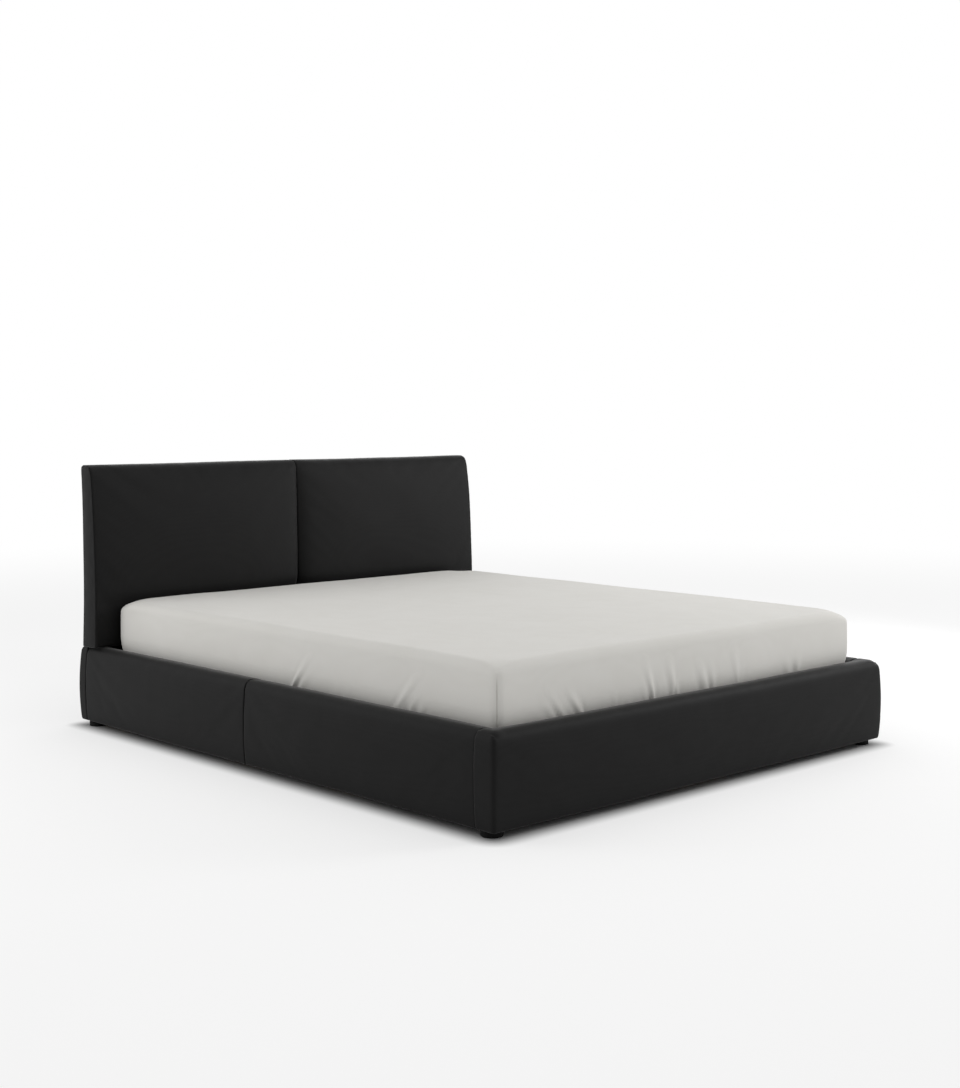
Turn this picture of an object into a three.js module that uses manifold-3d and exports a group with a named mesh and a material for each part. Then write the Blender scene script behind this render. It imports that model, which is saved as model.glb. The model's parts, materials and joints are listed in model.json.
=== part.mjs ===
// A low double bed with upholstered box rails, a two-cushion headboard and a mattress in a fitted sheet.
// Millimetres. +X runs across the bed, +Y towards the head, +Z up. The origin is on the floor,
// under the middle of the frame.
import * as THREE from 'three';
import { mergeVertices } from 'three/addons/utils/BufferGeometryUtils.js';
import Module from 'manifold-3d';

const wasm = await Module();
wasm.setup();

// ---- driving dimensions ----
const GAP = 0.3; // between pieces that touch

const FRAME_WIDTH = 1860;
const FRAME_LENGTH = 2220;
const FRAME_BOTTOM = 20;
const FRAME_TOP = 294;
const RAIL_THICKNESS = 80; // footboard and side rails
const HEAD_RAIL_THICKNESS = 50;
const MID_SEAM_Y = 57; // where the two parts of each side rail meet
const RAIL_CROWN = 7; // how far the outer faces swell between top and bottom
const RAIL_TOP_RADIUS = 30;
const HEAD_RAIL_TOP_RADIUS = 18;
const RAIL_INNER_RADIUS = 12;
const RAIL_BOTTOM_RADIUS = 8;
const RAIL_CORNER_RADIUS = 18;

const BOARD_THICKNESS = 25;
const INNER_PAD = 5; // cover between a board and the inside of the frame
const END_PAD = 25; // cover beyond the ends of the footboard and head rail boards
const TOP_PAD = 14;

const HEADBOARD_TOP = 955;
const HEADBOARD_BACK = 36; // from the rear of the frame, at the bottom
const HEADBOARD_FRONT = 114; // seam line at the ends, from the rear of the frame, at the bottom
const HEADBOARD_CROWN = 20; // how far each cushion swells beyond its seams
const BACK_ROLL = 18; // how far the back leans out at the top
const FRONT_ROLL = 30; // how far the front leans back at the top
const CUSHION_TOP_RADIUS = 26;
const PANEL_BACK = 40;
const PANEL_FRONT = 76;
const PANEL_TOP = 905;

const MATTRESS_WIDTH = 1680;
const MATTRESS_LENGTH = 2000;
const MATTRESS_TOP = 465;
const MATTRESS_FOOT_GAP = 4;
const MATTRESS_CORNER = 42;
const SHEET_THICKNESS = 1.5;
const SHEET_HEM = 120; // how far the sheet tucks under the mattress

const SLAT_COUNT = 12;
const SLAT_WIDTH = 90;
const SLAT_THICKNESS = 20;
const SLAT_TOP = 245;
const SLAT_FIRST_Y = -970;
const SLAT_LAST_Y = 918;
const LEDGE_WIDTH = 30;
const LEDGE_HEIGHT = 40;

const BEAM_WIDTH = 40;
const BEAM_HEIGHT = 60;
const STEEL = 3;
const BRACKET_LEG = 60;
const BRACKET_BOTTOM = 60;
const BRACKET_TOP = 180;
const BOLT_RADIUS = 4;
const BOLT_LENGTH = 26;
const BOLT_HEAD_RADIUS = 9;
const BOLT_HEAD_HEIGHT = 5;

const FOOT_RADIUS = 32;
const FOOT_INSET_X = 47.5;
const FOOT_INSET_Y = 59.5;
const LEG_RADIUS = 16;
const LEG_PAD_RADIUS = 22;
const LEG_STATIONS_Y = [-560, 0, 560];

const UPRIGHT_WIDTH = 60;
const UPRIGHT_THICKNESS = 8;
const UPRIGHT_X = 630;
const UPRIGHT_BOTTOM = 60;
const UPRIGHT_TOP = 560;

// ---- worked out from them ----
const SIDE = FRAME_WIDTH / 2;
const HEAD = FRAME_LENGTH / 2;
const FOOT = -HEAD;
const RAIL_INSIDE = SIDE - RAIL_THICKNESS;
const FOOT_INSIDE = FOOT + RAIL_THICKNESS;
const HEAD_INSIDE = HEAD - HEAD_RAIL_THICKNESS;
const BOARD_BOTTOM = FRAME_BOTTOM + GAP;
const BOARD_TOP = FRAME_TOP - TOP_PAD;
const LEDGE_TOP = SLAT_TOP - SLAT_THICKNESS - GAP;
const SHEET_BOTTOM = SLAT_TOP + GAP;
const MATTRESS_FOOT_Y = FOOT_INSIDE + MATTRESS_FOOT_GAP;
const HEADBOARD_BOTTOM = FRAME_TOP + GAP;

// ---- materials ----
const finish = (color, roughness, metalness = 0) => ({ color, roughness, metalness });
const UPHOLSTERY = finish(0x1d1c1d, 0.9);
const SHEET = finish(0xd8d4cd, 0.95);
const TICKING = finish(0xe6e3dc, 0.95);
const BOARD = finish(0xb99a6e, 0.8);
const SLAT_WOOD = finish(0xd8bd90, 0.7);
const DARK_STEEL = finish(0x2b2c2e, 0.45, 0.8);
const PLASTIC = finish(0x131313, 0.6);

// ---- geometry helpers ----

// A closed mesh's geometry as a solid that can be joined and cut.
function toSolid(geometry) {
  const bare = geometry.clone();
  bare.deleteAttribute('normal');
  bare.deleteAttribute('uv');
  const merged = mergeVertices(bare, 1e-4);
  const mesh = new wasm.Mesh({
    numProp: 3,
    vertProperties: Float32Array.from(merged.attributes.position.array),
    triVerts: Uint32Array.from(merged.index.array),
  });
  return new wasm.Manifold(mesh);
}

function toGeometry(solid) {
  const mesh = solid.getMesh();
  const geometry = new THREE.BufferGeometry();
  geometry.setAttribute('position', new THREE.BufferAttribute(mesh.vertProperties, 3));
  geometry.setIndex(new THREE.BufferAttribute(mesh.triVerts, 1));
  geometry.computeVertexNormals();
  return geometry;
}

// The first geometry with all the others cut out of it.
function cut(geometry, ...tools) {
  let solid = toSolid(geometry);
  for (const tool of tools) solid = solid.subtract(toSolid(tool));
  return toGeometry(solid);
}

function join(...geometries) {
  let solid = toSolid(geometries[0]);
  for (const other of geometries.slice(1)) solid = solid.add(toSolid(other));
  return toGeometry(solid);
}

// A box between two corners given as [x, y, z].
function block(low, high) {
  const size = high.map((value, axis) => value - low[axis]);
  const geometry = new THREE.BoxGeometry(...size);
  geometry.translate(...high.map((value, axis) => (value + low[axis]) / 2));
  return geometry;
}

// A block grown by the gap on every side.
function grownBlock(low, high, gap = GAP) {
  return block(low.map((value) => value - gap), high.map((value) => value + gap));
}

// A closed skin over flat rings of the same number of points, stacked along the axis 'x' or 'z'.
function loft(rings, axis) {
  const count = rings[0].length;
  const index = [];
  for (let ring = 0; ring + 1 < rings.length; ring += 1) {
    for (let i = 0; i < count; i += 1) {
      const a = ring * count + i;
      const b = ring * count + ((i + 1) % count);
      index.push(a, b, b + count, a, b + count, a + count);
    }
  }
  const [across, up] = axis === 'x' ? ['y', 'z'] : ['x', 'y'];
  const flat = rings[0].map((p) => new THREE.Vector2(p[across], p[up]));
  const last = (rings.length - 1) * count;
  const clockwise = THREE.ShapeUtils.isClockWise(flat);
  for (const [a, b, c] of THREE.ShapeUtils.triangulateShape(flat, [])) {
    const corners = clockwise ? [a, c, b] : [a, b, c];
    index.push(...corners.slice().reverse());
    index.push(...corners.map((i) => i + last));
  }
  const rising = rings.at(-1)[0][axis] > rings[0][0][axis];
  const geometry = new THREE.BufferGeometry();
  const positions = new Float32Array(rings.flat().flatMap((p) => [p.x, p.y, p.z]));
  geometry.setAttribute('position', new THREE.BufferAttribute(positions, 3));
  geometry.setIndex(rising === clockwise ? flipped(index) : index);
  geometry.computeVertexNormals();
  return geometry;
}

function flipped(index) {
  const out = [];
  for (let i = 0; i < index.length; i += 3) out.push(index[i], index[i + 2], index[i + 1]);
  return out;
}

// A level ring round a rectangle with rounded corners, anticlockwise from above.
function roundedRing(low, high, z, radii, steps) {
  const [frontLeft, frontRight, backRight, backLeft] = radii;
  const corners = [
    { x: high[0] - frontRight, y: low[1] + frontRight, r: frontRight, start: -0.5 },
    { x: high[0] - backRight, y: high[1] - backRight, r: backRight, start: 0 },
    { x: low[0] + backLeft, y: high[1] - backLeft, r: backLeft, start: 0.5 },
    { x: low[0] + frontLeft, y: low[1] + frontLeft, r: frontLeft, start: 1 },
  ];
  const ring = [];
  for (const { x, y, r, start } of corners) {
    for (let i = 0; i <= steps; i += 1) {
      const angle = Math.PI * (start + (0.5 * i) / steps);
      ring.push(new THREE.Vector3(x + r * Math.cos(angle), y + r * Math.sin(angle), z));
    }
  }
  return ring;
}

// How far a rounded edge draws in at a height, for a quarter circle that ends at `limit`.
function edgeInset(z, limit, radius) {
  const rise = radius - Math.abs(limit - z);
  return rise > 0 ? radius - Math.sqrt(Math.max(0, radius * radius - rise * rise)) : 0;
}

// ---- padded rails ----

// The heights of a rail's rings, closer together where its edges are rounded.
function railLevels(topRadius) {
  const steps = [0, 0.3, 0.6, 0.85, 1];
  const bottom = steps.map((t) => FRAME_BOTTOM + RAIL_BOTTOM_RADIUS * (1 - Math.cos((t * Math.PI) / 2)));
  const low = FRAME_BOTTOM + RAIL_BOTTOM_RADIUS;
  const high = FRAME_TOP - topRadius;
  const middle = [0.25, 0.5, 0.75].map((t) => THREE.MathUtils.lerp(low, high, t));
  const top = steps.map((t) => high + topRadius * Math.sin((t * Math.PI) / 2));
  return [...bottom, ...middle, ...top];
}

function outerInset(z, topRadius) {
  const middle = (FRAME_BOTTOM + FRAME_TOP) / 2;
  const reach = (z - middle) / (FRAME_TOP - middle);
  const rounding = edgeInset(z, FRAME_TOP, topRadius) + edgeInset(z, FRAME_BOTTOM, RAIL_BOTTOM_RADIUS);
  return RAIL_CROWN * reach * reach + rounding;
}

function innerInset(z) {
  return edgeInset(z, FRAME_TOP, RAIL_INNER_RADIUS);
}

// A padded rail. `outer` says which of its sides face out of the bed, `inner` which face the mattress.
function paddedRail(low, high, outer, inner, topRadius = RAIL_TOP_RADIUS) {
  const radius = (a, b) => (outer.includes(a) && outer.includes(b) ? RAIL_CORNER_RADIUS : 3);
  const corners = [['front', 'left'], ['front', 'right'], ['back', 'right'], ['back', 'left']];
  const rings = railLevels(topRadius).map((z) => {
    const inset = (side) => {
      if (outer.includes(side)) return outerInset(z, topRadius);
      return inner.includes(side) ? innerInset(z) : 0;
    };
    const from = [low[0] + inset('left'), low[1] + inset('front')];
    const to = [high[0] - inset('right'), high[1] - inset('back')];
    const most = 0.4 * Math.min(to[0] - from[0], to[1] - from[1]);
    const radii = corners.map(([a, b]) => Math.min(radius(a, b), most));
    return roundedRing(from, to, z, radii, 2);
  });
  return loft(rings, 'z');
}

// The slot under a padded rail that takes its board.
function boardSlot(low, high) {
  return block(
    [low[0] - GAP, low[1] - GAP, FRAME_BOTTOM - 10],
    [high[0] + GAP, high[1] + GAP, high[2] + GAP],
  );
}

function footboard() {
  const low = [-SIDE + END_PAD, FOOT_INSIDE - INNER_PAD - BOARD_THICKNESS, BOARD_BOTTOM];
  const high = [SIDE - END_PAD, FOOT_INSIDE - INNER_PAD, BOARD_TOP];
  const skin = paddedRail([-SIDE, FOOT], [SIDE, FOOT_INSIDE], ['front', 'left', 'right'], ['back']);
  piece('footboard_core', block(low, high), BOARD);
  piece('footboard_cover', cut(skin, boardSlot(low, high)), UPHOLSTERY);
}

function headRail() {
  const low = [-SIDE + END_PAD, HEAD_INSIDE + INNER_PAD, BOARD_BOTTOM];
  const high = [SIDE - END_PAD, HEAD_INSIDE + INNER_PAD + BOARD_THICKNESS - GAP, BOARD_TOP];
  const outer = ['back', 'left', 'right'];
  const skin = paddedRail([-SIDE, HEAD_INSIDE], [SIDE, HEAD], outer, ['front'], HEAD_RAIL_TOP_RADIUS);
  piece('head_rail_core', block(low, high), BOARD);
  piece('head_rail_cover', cut(skin, boardSlot(low, high)), UPHOLSTERY);
}

// One of the two parts of a side rail, from y0 to y1.
function sideRail(name, side, y0, y1) {
  const span = (a, b) => (side < 0 ? [-b, -a] : [a, b]);
  const [coverLow, coverHigh] = span(RAIL_INSIDE, SIDE);
  const [boardLow, boardHigh] = span(RAIL_INSIDE + INNER_PAD, RAIL_INSIDE + INNER_PAD + BOARD_THICKNESS);
  const [out, inside] = side < 0 ? ['left', 'right'] : ['right', 'left'];
  const low = [boardLow, y0, BOARD_BOTTOM];
  const high = [boardHigh, y1, BOARD_TOP];
  const skin = paddedRail([coverLow, y0], [coverHigh, y1], [out], [inside]);
  const holes = cornerBolts(side).map((bolt) => bolt.hole);
  piece(`${name}_core`, cut(block(low, high), ...holes), BOARD);
  piece(`${name}_cover`, cut(skin, boardSlot(low, high), ...holes), UPHOLSTERY);
}

// ---- corner joints ----

function cylinderAlongX(radius, x0, x1, y, z, sides = 12) {
  const geometry = new THREE.CylinderGeometry(radius, radius, Math.abs(x1 - x0), sides);
  geometry.rotateZ(Math.PI / 2);
  geometry.translate((x0 + x1) / 2, y, z);
  return geometry;
}

// The bolts that hold a side rail to its two corner brackets, with the holes they need.
function cornerBolts(side) {
  const face = side * (RAIL_INSIDE - GAP - STEEL - GAP);
  const height = (BRACKET_BOTTOM + BRACKET_TOP) / 2;
  const stations = [
    { end: 'foot', y: FOOT_INSIDE + BRACKET_LEG / 2 },
    { end: 'head', y: HEAD_INSIDE - BRACKET_LEG / 2 },
  ];
  return stations.map(({ end, y }) => {
    const head = cylinderAlongX(BOLT_HEAD_RADIUS, face, face - side * BOLT_HEAD_HEIGHT, y, height, 6);
    const shank = cylinderAlongX(BOLT_RADIUS, face - side, face + side * BOLT_LENGTH, y, height);
    const hole = cylinderAlongX(BOLT_RADIUS + GAP, face - side, face + side * (BOLT_LENGTH + 1), y, height);
    return { end, geometry: join(head, shank), hole };
  });
}

function cornerBracket(name, side, end) {
  const x = side * (RAIL_INSIDE - GAP);
  const y = end < 0 ? FOOT_INSIDE + GAP : HEAD_INSIDE - GAP;
  const shape = new THREE.Shape();
  shape.moveTo(0, 0);
  shape.lineTo(BRACKET_LEG, 0);
  shape.lineTo(BRACKET_LEG, STEEL);
  shape.lineTo(STEEL, STEEL);
  shape.lineTo(STEEL, BRACKET_LEG);
  shape.lineTo(0, BRACKET_LEG);
  const depth = BRACKET_TOP - BRACKET_BOTTOM;
  const angle = new THREE.ExtrudeGeometry(shape, { depth, bevelEnabled: false });
  const turns = { '-1,-1': 0, '1,-1': 1, '1,1': 2, '-1,1': 3 };
  angle.rotateZ((turns[`${side},${end}`] * Math.PI) / 2);
  angle.translate(x, y, BRACKET_BOTTOM);
  piece(name, cut(angle, ...cornerBolts(side).map((bolt) => bolt.hole)), DARK_STEEL);
}

function corners() {
  for (const [sideName, side] of [['left', -1], ['right', 1]]) {
    for (const bolt of cornerBolts(side)) {
      cornerBracket(`${bolt.end}_${sideName}_corner_bracket`, side, bolt.end === 'foot' ? -1 : 1);
      piece(`${bolt.end}_${sideName}_corner_bolt`, bolt.geometry, DARK_STEEL);
    }
  }
}

// ---- inside the side rails ----

// The steel plate that joins the two parts of a side rail, with the heads of its four bolts.
function splicePlate(name, side) {
  const length = 240;
  const bottom = 70;
  const top = 170;
  const thickness = 5;
  const face = RAIL_INSIDE - GAP;
  const low = [Math.min(side * face, side * (face - thickness)), MID_SEAM_Y - length / 2, bottom];
  const high = [Math.max(side * face, side * (face - thickness)), MID_SEAM_Y + length / 2, top];
  const heads = [];
  for (const y of [-80, 80]) {
    for (const z of [95, 145]) {
      const inner = side * (face - thickness - BOLT_HEAD_HEIGHT);
      heads.push(cylinderAlongX(BOLT_HEAD_RADIUS, side * (face - 1), inner, MID_SEAM_Y + y, z, 6));
    }
  }
  piece(name, join(block(low, high), ...heads), DARK_STEEL);
}

function ledge(name, side, y0, y1) {
  const near = side * (RAIL_INSIDE - GAP);
  const far = side * (RAIL_INSIDE - GAP - LEDGE_WIDTH);
  const low = [Math.min(near, far), y0, LEDGE_TOP - LEDGE_HEIGHT];
  const high = [Math.max(near, far), y1, LEDGE_TOP];
  piece(name, block(low, high), SLAT_WOOD);
}

function sideRails() {
  for (const [name, side] of [['left', -1], ['right', 1]]) {
    sideRail(`${name}_rail_foot`, side, FOOT_INSIDE + GAP, MID_SEAM_Y - GAP / 2);
    sideRail(`${name}_rail_head`, side, MID_SEAM_Y + GAP / 2, HEAD_INSIDE - GAP);
    splicePlate(`${name}_rail_splice_plate`, side);
    ledge(`${name}_ledge_foot`, side, FOOT_INSIDE + 2, MID_SEAM_Y - 1);
    ledge(`${name}_ledge_head`, side, MID_SEAM_Y + 1, HEAD_INSIDE - 2);
  }
}

// ---- slats and the centre support ----

// A board across the bed with its four long edges rounded.
function slat(y) {
  const half = SLAT_WIDTH / 2;
  const r = 4;
  const shape = new THREE.Shape();
  shape.moveTo(-half + r, 0);
  shape.lineTo(half - r, 0);
  shape.absarc(half - r, r, r, -Math.PI / 2, 0);
  shape.absarc(half - r, SLAT_THICKNESS - r, r, 0, Math.PI / 2);
  shape.absarc(-half + r, SLAT_THICKNESS - r, r, Math.PI / 2, Math.PI);
  shape.absarc(-half + r, r, r, Math.PI, 1.5 * Math.PI);
  const length = 2 * (RAIL_INSIDE - 10);
  const geometry = new THREE.ExtrudeGeometry(shape, { depth: length, bevelEnabled: false, curveSegments: 2 });
  geometry.rotateX(Math.PI / 2);
  geometry.rotateZ(Math.PI / 2);
  geometry.translate(-length / 2, y, SLAT_TOP - SLAT_THICKNESS);
  return geometry;
}

function slats() {
  for (let i = 0; i < SLAT_COUNT; i += 1) {
    const y = THREE.MathUtils.lerp(SLAT_FIRST_Y, SLAT_LAST_Y, i / (SLAT_COUNT - 1));
    piece(`slat_${String(i + 1).padStart(2, '0')}`, slat(y), SLAT_WOOD);
  }
}

const BEAM_LOW = [-BEAM_WIDTH / 2, FOOT_INSIDE + STEEL + 2 * GAP, LEDGE_TOP - BEAM_HEIGHT];
const BEAM_HIGH = [BEAM_WIDTH / 2, HEAD_INSIDE - STEEL - 2 * GAP, LEDGE_TOP];

// A folded steel stirrup that carries one end of the centre beam.
function beamHanger(name, end) {
  const depth = 40;
  const wall = end < 0 ? FOOT_INSIDE + GAP : HEAD_INSIDE - GAP;
  const lip = wall - end * depth;
  const low = [BEAM_LOW[0] - STEEL - GAP, Math.min(wall, lip), BEAM_LOW[2] - STEEL - GAP];
  const high = [BEAM_HIGH[0] + STEEL + GAP, Math.max(wall, lip), LEDGE_TOP - 5];
  const room = grownBlock(BEAM_LOW, [BEAM_HIGH[0], BEAM_HIGH[1], LEDGE_TOP + 10]);
  const wing = 85;
  const plateEdge = wall - end * STEEL;
  const plateLow = [-wing / 2, Math.min(wall, plateEdge), low[2]];
  const plateHigh = [wing / 2, Math.max(wall, plateEdge), high[2]];
  piece(name, cut(join(block(low, high), block(plateLow, plateHigh)), room), DARK_STEEL);
}

function lathe(profile, sides, x, y) {
  const points = profile.map(([radius, z]) => new THREE.Vector2(radius, z));
  const geometry = new THREE.LatheGeometry(points, sides);
  geometry.rotateX(Math.PI / 2);
  geometry.translate(x, y, 0);
  return geometry;
}

function centreLeg(number, y) {
  const socket = 6;
  const rim = 14;
  const top = BEAM_LOW[2] - GAP;
  const post = [[0, socket], [LEG_RADIUS, socket], [LEG_RADIUS, top - 4], [30, top - 4], [30, top], [0, top]];
  const pad = [
    [0, 0], [LEG_PAD_RADIUS - 2, 0], [LEG_PAD_RADIUS, 2], [LEG_PAD_RADIUS, rim - 2], [LEG_PAD_RADIUS - 2, rim],
    [LEG_RADIUS + GAP, rim], [LEG_RADIUS + GAP, socket - GAP], [0, socket - GAP],
  ];
  piece(`centre_leg_${number}`, lathe(post, 20, 0, y), DARK_STEEL);
  piece(`centre_leg_pad_${number}`, lathe(pad, 20, 0, y), PLASTIC);
}

function centreSupport() {
  piece('centre_beam', block(BEAM_LOW, BEAM_HIGH), SLAT_WOOD);
  beamHanger('foot_beam_hanger', -1);
  beamHanger('head_beam_hanger', 1);
  LEG_STATIONS_Y.forEach((y, i) => centreLeg(i + 1, y));
}

// ---- feet ----

function foot(name, x, y) {
  const top = FRAME_BOTTOM - GAP;
  const chamfer = 2;
  const profile = [[0, 0], [FOOT_RADIUS - chamfer, 0], [FOOT_RADIUS, chamfer], [FOOT_RADIUS, top], [0, top]];
  piece(name, lathe(profile, 32, x, y), PLASTIC);
}

function feet() {
  for (const [sideName, side] of [['left', -1], ['right', 1]]) {
    for (const [endName, end] of [['foot', -1], ['head', 1]]) {
      foot(`${endName}_${sideName}_foot`, side * (SIDE - FOOT_INSET_X), end * (HEAD - FOOT_INSET_Y));
    }
  }
}

// ---- headboard ----

// How far up the headboard a height is, from 0 to 1.
const climb = (z) => (z - HEADBOARD_BOTTOM) / (HEADBOARD_TOP - HEADBOARD_BOTTOM);
const backDepth = (z) => HEADBOARD_BACK - BACK_ROLL * climb(z) ** 4;
const frontDepth = (z) => HEADBOARD_FRONT - FRONT_ROLL * climb(z) ** 4;

// The headboard's outline from the side: up the back, over the rounded top, down the front.
function cushionRing(x, swell) {
  const ring = [];
  const add = (depth, z) => ring.push(new THREE.Vector3(x, HEAD - depth, z));
  const shoulder = HEADBOARD_TOP - CUSHION_TOP_RADIUS;
  const heights = [0, 0.3, 0.55, 0.75, 0.9, 1].map((t) => THREE.MathUtils.lerp(HEADBOARD_BOTTOM, shoulder, t));
  for (const z of heights) add(backDepth(z), z);
  const centre = (backDepth(shoulder) + frontDepth(shoulder) + swell) / 2;
  const half = (frontDepth(shoulder) + swell - backDepth(shoulder)) / 2;
  for (let i = 1; i < 8; i += 1) {
    const angle = (Math.PI * i) / 8;
    const width = Math.sign(Math.cos(angle)) * Math.abs(Math.cos(angle)) ** 0.7;
    add(centre - half * width, shoulder + CUSHION_TOP_RADIUS * Math.sin(angle) ** 0.7);
  }
  for (const z of heights.slice().reverse()) add(frontDepth(z) + swell, z);
  return ring;
}

// One headboard cushion, wrapped over the top and the outer end of the panel.
function cushion(name, side) {
  const inner = 1;
  const stations = [0, 0.012, 0.04, 0.1, 0.3, 0.5, 0.7, 0.9, 0.96, 0.988, 1];
  const rings = stations.map((t) => {
    const swell = HEADBOARD_CROWN * (1 - Math.abs(2 * t - 1) ** 8);
    return cushionRing(THREE.MathUtils.lerp(side * inner, side * SIDE, t), swell);
  });
  const reach = SIDE - END_PAD + GAP;
  const pocket = block(
    [-reach, HEAD - PANEL_FRONT - GAP, FRAME_TOP - 10],
    [reach, HEAD + 10, PANEL_TOP + GAP],
  );
  piece(name, cut(loft(rings, 'x'), pocket), UPHOLSTERY);
}

// The timber panel, with a mortise from below for each upright.
function headboardPanel() {
  const reach = SIDE - END_PAD;
  const mortises = [-1, 1].map((side) => {
    const [low, high] = uprightCorners(side);
    return grownBlock(low, high);
  });
  const body = block([-reach, HEAD - PANEL_FRONT, HEADBOARD_BOTTOM], [reach, HEAD - PANEL_BACK - GAP, PANEL_TOP]);
  piece('headboard_panel', cut(body, ...mortises), BOARD);
}

// The padded cloth back, flat against the panel and swelling out towards the top.
function headboardBack() {
  const reach = SIDE - END_PAD;
  const top = PANEL_TOP;
  const heights = [0, 0.3, 0.55, 0.75, 0.9, 1].map((t) => THREE.MathUtils.lerp(HEADBOARD_BOTTOM, top, t));
  const ringAt = (x) => [
    new THREE.Vector3(x, HEAD - PANEL_BACK, HEADBOARD_BOTTOM),
    ...heights.map((z) => new THREE.Vector3(x, HEAD - backDepth(z), z)),
    new THREE.Vector3(x, HEAD - PANEL_BACK, top),
  ];
  piece('headboard_back', loft([ringAt(-reach), ringAt(reach)], 'x'), UPHOLSTERY);
}

function uprightCorners(side) {
  const x = side * UPRIGHT_X;
  const front = HEAD_INSIDE - GAP - UPRIGHT_THICKNESS;
  return [
    [x - UPRIGHT_WIDTH / 2, front, UPRIGHT_BOTTOM],
    [x + UPRIGHT_WIDTH / 2, HEAD_INSIDE - GAP, UPRIGHT_TOP],
  ];
}

function headboard() {
  headboardPanel();
  headboardBack();
  cushion('left_headboard_cushion', -1);
  cushion('right_headboard_cushion', 1);
  piece('left_headboard_upright', block(...uprightCorners(-1)), DARK_STEEL);
  piece('right_headboard_upright', block(...uprightCorners(1)), DARK_STEEL);
}

// ---- mattress and fitted sheet ----

// A mattress-shaped solid, drawn in from the sheet's outside by `inset`.
function mattressBody(inset, bottom, top) {
  const edge = 34 - inset;
  const steps = [0, 0.35, 0.7, 1];
  const low = steps.map((t) => bottom + edge * 0.5 * (1 - Math.cos((t * Math.PI) / 2)));
  const high = steps.map((t) => top - edge * (1 - Math.sin((t * Math.PI) / 2)));
  const rings = [...low, ...high].map((z) => {
    const draw = inset + edgeInset(z, top, edge) + edgeInset(z, bottom, edge * 0.5);
    const from = [-MATTRESS_WIDTH / 2 + draw, MATTRESS_FOOT_Y + draw];
    const to = [MATTRESS_WIDTH / 2 - draw, MATTRESS_FOOT_Y + MATTRESS_LENGTH - draw];
    return roundedRing(from, to, z, Array(4).fill(MATTRESS_CORNER - draw), 5);
  });
  return loft(rings, 'z');
}

function mattress() {
  const clear = SHEET_THICKNESS + GAP;
  const bottom = SHEET_BOTTOM + clear;
  piece('mattress', mattressBody(clear, bottom, MATTRESS_TOP - clear), TICKING);
  const room = mattressBody(SHEET_THICKNESS, SHEET_BOTTOM + SHEET_THICKNESS, MATTRESS_TOP - SHEET_THICKNESS);
  const opening = block(
    [-MATTRESS_WIDTH / 2 + SHEET_HEM, MATTRESS_FOOT_Y + SHEET_HEM, SHEET_BOTTOM - 10],
    [MATTRESS_WIDTH / 2 - SHEET_HEM, MATTRESS_FOOT_Y + MATTRESS_LENGTH - SHEET_HEM, SHEET_BOTTOM + 20],
  );
  piece('fitted_sheet', cut(mattressBody(0, SHEET_BOTTOM, MATTRESS_TOP), room, opening), SHEET);
}

// ---- the whole bed ----

const bed = new THREE.Group();

function piece(name, geometry, look) {
  const mesh = new THREE.Mesh(geometry, new THREE.MeshStandardMaterial(look));
  mesh.name = name;
  bed.add(mesh);
}

footboard();
headRail();
sideRails();
corners();
slats();
centreSupport();
feet();
headboard();
mattress();

export default bed;
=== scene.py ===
"""The looks of an upholstered bed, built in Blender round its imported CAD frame.

Everything is in metres, in the frame's own axes: +X across the bed, +Y towards the head, +Z up.
"""

import json
import math

import bpy
import numpy as np
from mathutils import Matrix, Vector


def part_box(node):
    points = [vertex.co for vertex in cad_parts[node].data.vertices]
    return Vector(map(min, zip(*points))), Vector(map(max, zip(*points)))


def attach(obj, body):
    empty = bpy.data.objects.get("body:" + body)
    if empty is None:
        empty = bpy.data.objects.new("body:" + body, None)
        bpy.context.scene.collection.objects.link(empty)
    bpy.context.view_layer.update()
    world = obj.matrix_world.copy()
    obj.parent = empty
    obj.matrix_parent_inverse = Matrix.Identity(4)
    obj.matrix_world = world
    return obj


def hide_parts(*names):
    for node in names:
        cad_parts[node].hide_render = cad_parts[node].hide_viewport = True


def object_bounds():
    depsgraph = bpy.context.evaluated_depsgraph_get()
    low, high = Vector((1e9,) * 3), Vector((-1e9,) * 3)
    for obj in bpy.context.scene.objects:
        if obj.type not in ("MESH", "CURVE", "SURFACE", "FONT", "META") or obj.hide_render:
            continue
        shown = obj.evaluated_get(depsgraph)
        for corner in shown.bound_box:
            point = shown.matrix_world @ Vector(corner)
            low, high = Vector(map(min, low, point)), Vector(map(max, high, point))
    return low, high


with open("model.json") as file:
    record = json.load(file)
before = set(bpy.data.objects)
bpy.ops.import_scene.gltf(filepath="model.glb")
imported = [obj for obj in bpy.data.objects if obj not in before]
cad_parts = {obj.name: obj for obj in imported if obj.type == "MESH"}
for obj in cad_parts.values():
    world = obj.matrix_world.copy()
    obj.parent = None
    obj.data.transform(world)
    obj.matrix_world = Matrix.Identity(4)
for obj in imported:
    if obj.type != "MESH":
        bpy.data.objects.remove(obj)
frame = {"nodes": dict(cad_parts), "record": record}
CAD_LOW, CAD_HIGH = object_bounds()

MM = 0.001


# ---------------------------------------------------------------- mesh tools


def graded(low, high, fine, coarse, growth=1.3):
    """Cuts from low to high, fine apart at both ends and growing to coarse between them."""
    ramp, step = [0.0], fine
    while step < coarse and ramp[-1] + step < (high - low) / 2:
        ramp.append(ramp[-1] + step)
        step *= growth
    ramp = np.array(ramp)
    head = low + ramp
    tail = high - ramp[::-1]
    count = max(1, int(round((tail[0] - head[-1]) / coarse)))
    middle = np.linspace(head[-1], tail[0], count + 1)
    return np.concatenate([head[:-1], middle, tail[1:]])


SPREAD_SAMPLES = 4001


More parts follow.
